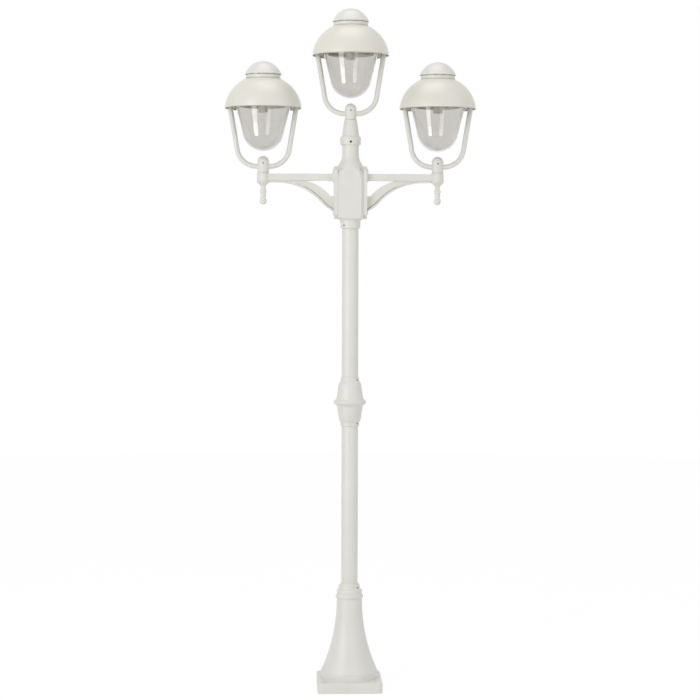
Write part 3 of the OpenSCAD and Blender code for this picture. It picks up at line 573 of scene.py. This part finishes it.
def flange_section(path, half_wide, half_thick, around=32):
    """A flat bar with half-round edges along a path.

    Ring point = path point + half_thick sin(u) N + (half_wide - half_thick) sign(cos u) Y
    + half_thick cos(u) Y, so two straight sides join two half circles."""
    p = np.asarray(path, float)
    normal = square_to(p)
    u = np.linspace(0, 2 * np.pi, around, endpoint=False) + np.pi / around
    up = half_thick * np.sin(u)
    side = (np.asarray(half_wide) - half_thick)[:, None] * np.sign(np.cos(u)) \
        + half_thick * np.cos(u)
    return skin(np.stack([p[:, :1] + normal[:, :1] * up, -side, p[:, 1:] + normal[:, 1:] * up], -1))


print("the brace's lower arc starts at", round(angle_at(LOWER_C, LOWER_R, FOOT_Z), 1), "degrees")


# %% Shape of the arm
def wall_plate():
    """The plate on the crosshead's side: an oblong with a round lobe at each end."""
    return np.vstack([
        arc(0, LOBE_LOW, LOBE_R, -162.54, -17.46, 20), [(36, LOBE_LOW - 6), (36, LOBE_HIGH + 6)],
        arc(0, LOBE_HIGH, LOBE_R, 17.46, 162.54, 20), [(-36, LOBE_HIGH + 6), (-36, LOBE_LOW - 6)]])


def brace_spine():
    """The middle line of the flange: a slanting foot, then the arc up to the socket."""
    start = angle_at(LOWER_C, LOWER_R + FLANGE_HALF, FOOT_Z + 14.6)
    return np.vstack([[(PLATE_OUT - 2, FOOT_Z - 8.7), (75, FOOT_Z + 3)],
                      arc(*LOWER_C, LOWER_R + FLANGE_HALF, start, 90, 60)])


def arm_shape():
    """Wall plate, root block, bar, web, flange, socket and spigot of the right-hand arm.

    The web starts groove mm above the flange; a thinner core closes the gap behind it."""
    square = np.array([(-1, -1), (1, -1), (1, 1), (-1, 1)], float)
    spine = brace_spine()
    wide = np.interp(spine[:, 0], [58, 85, 157.5, 254], [15, 20, 20, 8])
    groove = np.interp(spine[:, 0], [160, 225], [2.2, -6.5])
    over = arc(*UPPER_C, UPPER_R, angle_at(UPPER_C, UPPER_R, BAR_Z - 11.5),
               angle_at(UPPER_C, UPPER_R, ROOT_Z), 30)
    above = [(292, LOWER_C[1] + LOWER_R), (292, BAR_Z - 16), (296.5, BAR_Z - 16),
             (296.5, BAR_Z - 11.5), *over, (PLATE_OUT - 1, ROOT_Z)]
    web = np.vstack([spine + square_to(spine) * (FLANGE_HALF + groove)[:, None], above])
    core = np.vstack([spine, above])
    socket = [(0.5, -16), (21.5, -16), (22.5, -15), (22.5, 12.5), (21.7, 13.3), (21.7, 15.7),
              (20.9, 16.5), (9, 16.5), (9, 57.5), (8, 58.5), (0.5, 58.5)]
    return together(plate(wall_plate(), PLATE_IN, PLATE_OUT, "x"),
                    plate(square * ROOT_HALF + [0, BAR_Z], PLATE_OUT - 1, PLATE_OUT + 4.8, "x"),
                    plate(square * BAR_HALF + [0, BAR_Z], PLATE_OUT - 1, REACH, "x"),
                    plate(web, -WEB_HALF, WEB_HALF, "y"), plate(core, -CORE_HALF, CORE_HALF, "y"),
                    flange_section(spine, wide, FLANGE_HALF),
                    turned(eased([(r, BAR_Z + z) for r, z in socket], 0.8), REACH, 96))


arm_points, arm_faces = arm_shape()
print("arm shape:", len(arm_points), "points")

# %% Both arms
mirrored = (arm_points * [-1, 1, 1], [face[::-1] for face in arm_faces])
for side, shape in (("right", (arm_points, arm_faces)), ("left", mirrored)):
    arm = piece(side + "_bracket_arm", shape, cast_coat, "crosshead", [side + "_arm"],
                CAST_EDGE)
print("arm:", len(arm.data.polygons), "faces with its edges softened")

# %% [markdown]
# ## Adapter and finials
# The middle head stands on a tapered adapter that plugs into the crosshead's
# neck. Under each arm's socket hangs a turned drop. Both are turned profiles,
# because a lathe or a turned pattern made the real ones.

# %% Tapered adapter
BOX_Z, BOX_HIGH, NECK_HIGH = 1706, 188, 106
CROWN = BOX_Z + BOX_HIGH + NECK_HIGH
adapter_line = [(1, CROWN - 59), (23, CROWN - 59), (24, CROWN - 58), (24, CROWN), (34, CROWN),
                (34, CROWN + 2), (31.5, CROWN + 4.5), (30, CROWN + 12), (23.2, CROWN + 62),
                (22.2, CROWN + 63), (9, CROWN + 63), (9, CROWN + 104), (8, CROWN + 105),
                (1, CROWN + 105)]
piece("tapered_adapter", turned(eased(adapter_line, 1.0)), cast_coat, "crosshead",
      ["top_adapter"])
print("the adapter's shoulder is at", CROWN, "mm")


# %% Drop finials
def finial_line(top):
    """A drop finial: cone, neck, bead, waist and bulb, from the bulb up."""
    line = np.vstack([
        arc(0, top - 70.5, 12.5, -88, -14, 12), arc(-3.5, top - 68.5, 16, -10, 38, 10),
        [(10.1, top - 50), (9.7, top - 46)], arc(0.1, top - 34.5, 12, -36, 42, 12),
        [(8.4, top - 23), (8.2, top - 19), (10.5, top - 14), (21.9, top - 3), (22.5, top - 1),
         (21.5, top), (8, top), (8, top + 10), (7, top + 11), (1, top + 11)]])
    return eased(line, 1.2)


for side, x in (("left", -REACH), ("right", REACH)):
    made = piece(side + "_drop_finial", turned(finial_line(BAR_Z - 16), x, 72), cast_coat,
                 "crosshead", [side + "_finial"])
print("finial:", len(made.data.polygons), "faces")

# %% [markdown]
# ## The heads
# All three heads are alike: a boss and a bent rod make the yoke, a strap
# across its ends carries the lampholder and a threaded stud, the glass hangs
# under a sheet ring, and the hood, vent ring and screw cap close the top. So one
# set is made with its seat at height 0 and copied onto the three seats.

# %% Yoke
LEAN_DEG, RIM_Z, YOKE_HALF = 9.4, 230, 118.3
LEAN = math.radians(LEAN_DEG)
ROD_R, ROD_Z, BEND_X = 9.0, 22.0, 22.8
# The leaning run crosses the rim's height at YOKE_HALF; a bend of radius R that ends
# there takes up R tan(half its turn) of the width that is left.
BEND_R = ((YOKE_HALF - (RIM_Z - ROD_Z) * math.tan(LEAN) - BEND_X)
          / math.tan((math.pi / 2 - LEAN) / 2))


def yoke_path(top=244.0):
    """Half of the rod's line in (x, z): a flat run, a bend, then a run that leans out."""
    flat = np.column_stack([np.linspace(0, BEND_X, 8), np.full(8, ROD_Z)])
    bend = arc(BEND_X, ROD_Z + BEND_R, BEND_R, -90, -LEAN_DEG, 30)[1:]
    rise = (top - bend[-1, 1]) * np.linspace(0, 1, 20)[1:, None] * [math.tan(LEAN), 1.0]
    return np.vstack([flat, bend, bend[-1] + rise])


def yoke_shape():
    """The whole rod, its nipples and the boss, with the seat at height 0."""
    half = yoke_path()
    line = np.vstack([(half * [-1, 1])[::-1], half[1:]])
    boss = np.vstack([[(9.05, 44), (9.05, 0.3), (20, 0.3), (21, 1.3)],
                      arc(0, 38, 21, 0, 88, 24), [(0.5, 59), (0.5, 44)]])
    nipples = [turned([(5, 240), (5, 257), (4.2, 258)], side * half[-1, 0], 32)
               for side in (-1, 1)]
    return together(rod(line, ROD_R), turned(eased(boss, 0.8, 4, True), 0, 96, True), *nipples)


print("the yoke's bend has a radius of", round(BEND_R, 1), "mm")

# %% Glass bell
GLASS_R, GLASS_WALL, BELL_DEEP, TAPER_DEG = 76.0, 3.5, 153.5, 13.5
TAPER = math.radians(TAPER_DEG)
BOWL_Z = RIM_Z - BELL_DEEP + GLASS_R


def bell_r(z):
    """Radius of the bell's straight side at height z over the seat.

    R cos(taper) where the side leaves the bowl, plus tan(taper) for each mm above that."""
    return GLASS_R * math.cos(TAPER) + (z - BOWL_Z + GLASS_R * math.sin(TAPER)) * math.tan(TAPER)


def bell_line():
    """Round bottom, tapered side, flange, then the same inside, one wall in."""
    mouth = bell_r(240)
    flange = mouth + 4.5
    return np.vstack([
        arc(0, BOWL_Z, GLASS_R, -89.6, -TAPER_DEG, 48),
        np.column_stack([bell_r(np.linspace(150, 236, 12)), np.linspace(150, 236, 12)]),
        [(flange - 0.4, 236.5), (flange, 237.2), (flange, 239.4), (flange - 0.6, 240),
         (mouth - 3.0, 240), (mouth - 3.6, 239.4)],
        arc(0, BOWL_Z, GLASS_R - GLASS_WALL, -TAPER_DEG, -89.6, 48)])


print("the bell's mouth is", round(2 * bell_r(240), 1), "mm across")


# %% Gallery and lampholder
def gallery_line(sheet=2.5):
    """A flat ring of sheet with a turned-down skirt, just inside the yoke's rods."""
    ring_r = YOKE_HALF + 14 * math.tan(LEAN) - ROD_R - 2.6
    return [(ring_r, 231.2), (ring_r, 244), (62, 244), (62, 244 - sheet),
            (ring_r - sheet, 244 - sheet), (ring_r - sheet, 231.2)]


def holder_line():
    """Porcelain body with a screw socket below and the stud's hole above."""
    return [(13.7, 213), (16.5, 213), (17, 214), (17, 237), (19, 239), (19, 265), (16, 270),
            (12, 272), (12, 276), (4.05, 276), (4.05, 266), (1, 266), (1, 247), (13.7, 247)]


def thread_rings():
    """Six rounded thread rings in the screw socket, 3.6 mm apart."""
    rings = [np.vstack([arc(13.7, 217 + 3.6 * i, 0.9, 90, 270, 8),
                        [(14.0, 216.1 + 3.6 * i), (14.0, 217.9 + 3.6 * i)]]) for i in range(6)]
    return [turned(ring, 0, 72, True) for ring in rings]


print("the gallery's ring is", round(2 * gallery_line()[0][0], 1), "mm across")

# %% Sizes of the hood, vent ring and cap
HOOD_R, BAND_TOP, BAND_R, SHEET = 138, 238, 137.3, 3
HOOD_ARC, HOOD_IN, CROWN_R = 150.0, 10.5, 60
DOME_R, DOME_RIM, CAP_WALL = 70, 65.7, 3
# The solid's arc stands HOOD_IN past the axis and runs from BAND_R in to CROWN_R, and
# the flat top lies where it ends.
hood_a = math.degrees(math.acos((BAND_R + HOOD_IN) / HOOD_ARC))
hood_b = math.degrees(math.acos((CROWN_R + HOOD_IN) / HOOD_ARC))
HOOD_TOP = BAND_TOP + HOOD_ARC * (math.sin(math.radians(hood_b)) - math.sin(math.radians(hood_a)))
SHOULDER = HOOD_TOP - 8.8
VENT_TOP = HOOD_TOP + 8
DOME_Z = VENT_TOP + 1 - math.sqrt(DOME_R ** 2 - DOME_RIM ** 2)
print("hood top at", round(HOOD_TOP, 2), "mm over the seat")


# %% Hood
def circle_through(p, q, s):
    """Centre (x, z) and radius of the circle through three points.

    Both p - q and p - s stand square to the lines from the centre to their middles."""
    p, q, s = (np.array(v, float) for v in (p, q, s))
    centre = np.linalg.solve(2 * np.array([q - p, s - p]), [q @ q - p @ p, s @ s - p @ p])
    return (*centre, float(np.linalg.norm(p - centre)))


def hood_line():
    """Plain band, one long arc, a groove, a collar round the flat top; inside, a sheet in."""
    x, z, r = circle_through((BAND_R, BAND_TOP), (107.3, 303.1), (62.5, SHOULDER))
    foot, top = (math.degrees(math.asin((at - z) / r)) for at in (BAND_TOP, SHOULDER))
    inner_top = math.degrees(math.acos((57 - x) / (r - SHEET)))
    return np.vstack([
        [(BAND_R - SHEET, RIM_Z), (HOOD_R - 0.5, RIM_Z), (HOOD_R, RIM_Z + 0.5),
         (HOOD_R, BAND_TOP - 0.5)], arc(x, z, r, foot, top, 64),
        [(60, SHOULDER + 0.2), (60, SHOULDER + 1.3), (62, SHOULDER + 1.6), (62, HOOD_TOP + 3.7),
         (61.3, HOOD_TOP + 4.3), (59.6, HOOD_TOP + 4.3), (59.4, HOOD_TOP), (4.6, HOOD_TOP),
         (4.6, HOOD_TOP - SHEET), (57, HOOD_TOP - SHEET)],
        arc(x, z, r - SHEET, inner_top, foot, 64)])


print("the hood's arc has a radius of",
      round(circle_through((BAND_R, BAND_TOP), (107.3, 303.1), (62.5, SHOULDER))[2], 1), "mm")


# %% Cap and vent ring
def drawn_in(line, by):
    """A dome pulled in by up to by mm: r - by sin(pi t), t = 0 at its foot and 1 on top."""
    r, z = line.T
    return np.column_stack([r - by * np.sin(np.pi * (z - z.min()) / np.ptp(z)), z])


def cap_line():
    """A dome with a thin rim, a ledge that lies on the vent ring, and its inside."""
    inner_r = DOME_R - CAP_WALL
    first = math.degrees(math.acos(DOME_RIM / DOME_R))
    last = math.degrees(math.asin((VENT_TOP + 3.3 - DOME_Z) / inner_r))
    return np.vstack([
        [(57, VENT_TOP + 0.3), (61, VENT_TOP + 0.3), (61, VENT_TOP - 2), (65.5, VENT_TOP - 2),
         (66, VENT_TOP - 1.5), (66, VENT_TOP + 0.6)],
        drawn_in(arc(0, DOME_Z, DOME_R, first, 89.7, 48), 1.2),
        drawn_in(arc(0, DOME_Z, inner_r, 82, last, 32), 1.0), [(57, VENT_TOP + 3.3)]])


def vent_shape(inner=53, outer=59, thick=1.5, posts=12):
    """Two flat rings with posts between them.

    Point (x, y) of a post, turned by s, goes to (x cos s - y sin s, x sin s + y cos s)."""
    rings = [turned(eased([(inner, a), (outer, a), (outer, a + thick), (inner, a + thick)], 0.3, 3,
                          True), 0, 96, True) for a in (HOOD_TOP, VENT_TOP - thick)]
    far, near = arc(0, 0, outer - 0.2, -9, 9, 7), arc(0, 0, inner + 0.2, 9, -9, 7)
    wedge = np.vstack([far, near])
    spin = np.radians(360 / posts * np.arange(posts))
    turns = [np.array([[math.cos(s), math.sin(s)], [-math.sin(s), math.cos(s)]]) for s in spin]
    return together(*rings, *[plate(wedge @ turn, HOOD_TOP + 1, VENT_TOP - 1, "z")
                              for turn in turns])


print("the vent ring fills", round(VENT_TOP - HOOD_TOP, 1), "mm between hood and cap")

# %% Copies on three seats
SEATS = {"left": (-REACH, BAR_Z + 16.5), "centre": (0.0, CROWN + 63.0),
         "right": (REACH, BAR_Z + 16.5)}


def on_each_head(part, shape, finish, body, node):
    """Copies a piece that was made with its seat at 0 onto the three seats."""
    mesh = as_mesh(part, shape) if isinstance(shape, tuple) else shape
    for head, (x, z) in SEATS.items():
        copy = mesh.copy()
        copy.transform(Matrix.Translation((x / 1000, 0, z / 1000)))
        piece(head + "_" + part, copy, finish, head + body, [head + node])
    print(part, len(mesh.polygons), "faces")


print("seats at", SEATS)

# %% Yokes, bells, galleries and lampholders
yoke_mesh = cut("yoke", yoke_shape(), drill(-90, 33.5, 2.5, 8, 24), True)
on_each_head("yoke_rod_and_boss", yoke_mesh, cast_coat, "_head", "_yoke")
on_each_head("moulded_bell", turned(bell_line(), 0, 160), glass, "_head", "_glass_bell")
on_each_head("gallery_ring", turned(eased(gallery_line(), 1.2, 4, True), 0, 144, True), spun_coat,
             "_head", "_gallery")
on_each_head("porcelain_holder",
             together(turned(eased(holder_line(), 1.2, 4, True), 0, 96, True), *thread_rings()),
             porcelain, "_head", "_lampholder")

# %% Hoods, vent rings and caps
hood_holes = together(*[upright_hole(36 * math.cos(a), 36 * math.sin(a), HOOD_TOP - 6,
                                    HOOD_TOP + 3, 7)
                        for a in np.radians(45 * np.arange(8) + 22.5)])
hood_mesh = cut("hood", turned(eased(hood_line(), 1.0, 4, True), 0, 192, True), hood_holes)
on_each_head("spun_hood", hood_mesh, spun_coat, "_hood", "_hood")
on_each_head("vent_posts", vent_shape(), spun_coat, "_hood", "_vent_ring")
on_each_head("domed_cap", turned(eased(cap_line(), 0.8, 4, True), 0, 144, True), cap_coat,
             "_cap", "_cap")

# %% [markdown]
# ## Inside the hoods
# The darker grey coat, which is painted shade, goes on the hood's faces that
# look at its axis or down. A face looks at the axis when its normal and the line
# from the axis to its middle point opposite ways. Painting by hand would do too,
# but this rule also holds when the hood's outline changes.

# %% Painted shade inside the hoods
def looks_inward(mesh, axis_x, steep=-0.5):
    """1 for faces with (middle - axis) . normal < 0 or a steep downward normal, else 0."""
    middle, facing = np.empty((2, len(mesh.polygons), 3))
    mesh.polygons.foreach_get("center", middle.ravel())
    mesh.polygons.foreach_get("normal", facing.ravel())
    inward = (middle[:, 0] - axis_x) * facing[:, 0] + middle[:, 1] * facing[:, 1] < 0
    return (inward | (facing[:, 2] < steep)).astype(np.int32)


for head, (x, _) in SEATS.items():
    hood = bpy.data.objects[head + "_spun_hood"].data
    # The second material, on inward and downward faces, is painted shade.
    hood.materials.append(painted_shade_coat)
    inner = looks_inward(hood, x / 1000)
    hood.polygons.foreach_set("material_index", inner)
    # Cycles makes clear glass cast a full shadow, which would blacken what stands in it.
    bpy.data.objects[head + "_moulded_bell"].visible_shadow = False
# The faces counted here carry the painted shade inside the hood.
print("hood faces with the thin coat:", inner.sum(), "of", len(inner))

# %% [markdown]
# ## Finishes on the solids that stay
# Straps, nuts, studs, screws, seals and the terminal block keep their solids
# and only get their finish: they are small, or hidden by the hoods, and their
# shapes are right as they are.

# %% Finishes for small hardware
KEPT = {"base_screws": black_oxide, "knop_screws": black_oxide, "crosshead_screws": black_oxide,
        "terminal_block": terminal_plastic, "arm_screws": cast_coat}
for head in SEATS:
    KEPT |= {head + "_boss_screw": black_oxide, head + "_carrier": zinc, head + "_lock_nuts": zinc,
             head + "_gallery_screws": stainless, head + "_gasket": rubber, head + "_stud": zinc}
finish_of_slot = {"white_coat": cast_coat, "white_coat_tube": tube_coat, "porcelain": porcelain,
                  "white_coat_sheet": spun_coat, "white_coat_hood": spun_coat,
                  "smoked_glass": glass}
slots = {s["node"]: s["material_slot"] for s in frame["record"]["subparts"]}
for node, obj in nodes.items():
    obj.data.materials.clear()
    obj.data.materials.append(KEPT.get(node) or finish_of_slot[slots[node]])
print(len(KEPT), "solids shown as they are")

# %% [markdown]
# ## Floor, light and camera
# The post stands on a plain white floor in soft light: a large panel in front
# on the left, a weak one on the right, one overhead and an even white surround.
# Three more screens light nothing and show only in gloss. Two of them draw the
# upright streaks in the glass, and one overhead brightens the tops of the hoods.

# %% Floor
FLOOR_SHARE, FLOOR_GLOW = 0.9, 1.03


def seen_directly(tree):
    """1 for rays that come from the camera, a reflection or through glass, else 0.

    A ray that has met a matt surface on its way lights that surface, so it counts as 0."""
    path = add(tree, "ShaderNodeLightPath")
    seen = path.outputs["Is Camera Ray"]
    for kind in ("Is Transmission Ray", "Is Glossy Ray"):
        both = add(tree, "ShaderNodeMath", {"operation": "MAXIMUM"})
        tree.links.new(seen, both.inputs[0])
        tree.links.new(path.outputs[kind], both.inputs[1])
        seen = both.outputs[0]
    matt = add(tree, "ShaderNodeMath", {"operation": "LESS_THAN"},
               **{"Value": path.outputs["Diffuse Depth"]})
    matt.inputs[1].default_value = 0.5
    direct = add(tree, "ShaderNodeMath", {"operation": "MULTIPLY"})
    tree.links.new(seen, direct.inputs[0])
    tree.links.new(matt.outputs[0], direct.inputs[1])
    return direct.outputs[0]


def stage_floor(radius=9000, z=-0.2, around=96):
    """A large flat disc; white to the camera and in reflections, and it keeps the shadow."""
    t = np.linspace(0, 2 * np.pi, around, endpoint=False)
    ring = np.column_stack([radius * np.cos(t), radius * np.sin(t), np.full(around, z)])
    obj = shown("floor", as_mesh("floor", (ring, [list(range(around))])))
    material, tree, shader, place = new_material("painted_floor")
    speck = noise(tree, place, size_mm=400, detail=2.0)
    tree.links.new(blend(tree, speck, "#fbfbfa", "#fdfdfc"), shader.inputs["Base Color"])
    shader.inputs["Roughness"].default_value = 0.9
    seen = add(tree, "ShaderNodeMath", {"operation": "MULTIPLY"},
               **{"Value": seen_directly(tree)})
    seen.inputs[1].default_value = FLOOR_SHARE
    white = add(tree, "ShaderNodeEmission", {"Strength": FLOOR_GLOW})
    mix = add(tree, "ShaderNodeMixShader", Fac=seen.outputs[0])
    tree.links.new(shader.outputs[0], mix.inputs[1])
    tree.links.new(white.outputs[0], mix.inputs[2])
    tree.links.new(mix.outputs[0], tree.nodes["Material Output"].inputs["Surface"])
    obj.data.materials.append(material)


stage_floor()
print("floor shows", round(100 * FLOOR_SHARE), "% plain white and the rest as lit, with its shadow")


# %% Lights
def panel(name, azimuth, distance, z, width, tall, power, aim_z=1.6, mirror_only=False):
    """A soft panel at an azimuth left (-) or right (+) of the front, aimed at height aim_z.

    Sizes and distances are in metres, power in watts. A panel that is mirror_only shows
    in gloss and glass and lights nothing else."""
    a = math.radians(azimuth)
    data = bpy.data.lights.new(name, "AREA")
    data.shape, data.size, data.size_y, data.energy = "RECTANGLE", width, tall, power
    obj = bpy.data.objects.new(name, data)
    obj.location = (distance * math.sin(a), -distance * math.cos(a), z)
    aim = Vector((0, 0, aim_z)) - obj.location
    obj.rotation_euler = aim.to_track_quat("-Z", "Y").to_euler()
    obj.visible_diffuse = not mirror_only
    bpy.context.scene.collection.objects.link(obj)


# Azimuth, distance, height, width, height of the panel, power and what it is aimed at.
panel("key_panel", -38, 4.6, 3.3, 2.2, 2.6, 57)
panel("left_screen", -45, 3.2, 1.1, 1.25, 2.1, 50, aim_z=1.1, mirror_only=True)
panel("right_screen", 21, 3.2, 1.1, 1.1, 2.1, 17, aim_z=1.1, mirror_only=True)
panel("sky_screen", 0, 0.1, 4.6, 1.8, 1.8, 20, aim_z=0, mirror_only=True)
panel("top_panel", 0, 0.6, 5.2, 3.0, 3.0, 12, aim_z=0)
panel("fill_panel", 55, 3.6, 2.9, 1.6, 1.6, 9, aim_z=2.2)

# %% Surround
world = bpy.data.worlds.new("surround")
bpy.context.scene.world = world
world.use_nodes = True
tree = world.node_tree
strength = add(tree, "ShaderNodeMapRange", {"To Min": 0.6, "To Max": 1.0},
               Value=seen_directly(tree))
tree.nodes["Background"].inputs["Color"].default_value = srgb("#ffffff")
tree.links.new(strength.outputs["Result"], tree.nodes["Background"].inputs["Strength"])
print("surround lights at 0.6 and looks white to the camera")

# %% Camera
CAMERA_DISTANCE, CAMERA_HEIGHT, CAMERA_TURN, CAMERA_ROLL = 7.05, 1.53, -2.2, 0.15
LOOK_Z, SENSOR_MM, FOCAL_PX, PICTURE_PX = 1.2321, 36, 1946, 700
camera_data = bpy.data.cameras.new("camera")
camera = bpy.data.objects.new("camera", camera_data)
bpy.context.scene.collection.objects.link(camera)
turn = math.radians(CAMERA_TURN)
camera.location = (CAMERA_DISTANCE * math.sin(turn), -CAMERA_DISTANCE * math.cos(turn),
                   CAMERA_HEIGHT)
look = Vector((0.0, 0, LOOK_Z)) - camera.location
camera.rotation_euler = look.to_track_quat("-Z", "Y").to_euler()
camera.rotation_euler.rotate_axis("Z", math.radians(CAMERA_ROLL))
camera_data.sensor_width = SENSOR_MM
camera_data.lens = SENSOR_MM * FOCAL_PX / PICTURE_PX
bpy.context.scene.camera = camera
bpy.context.scene.view_settings.view_transform = "Standard"
print("camera at", tuple(round(v, 3) for v in camera.location), "lens", round(camera_data.lens, 1))
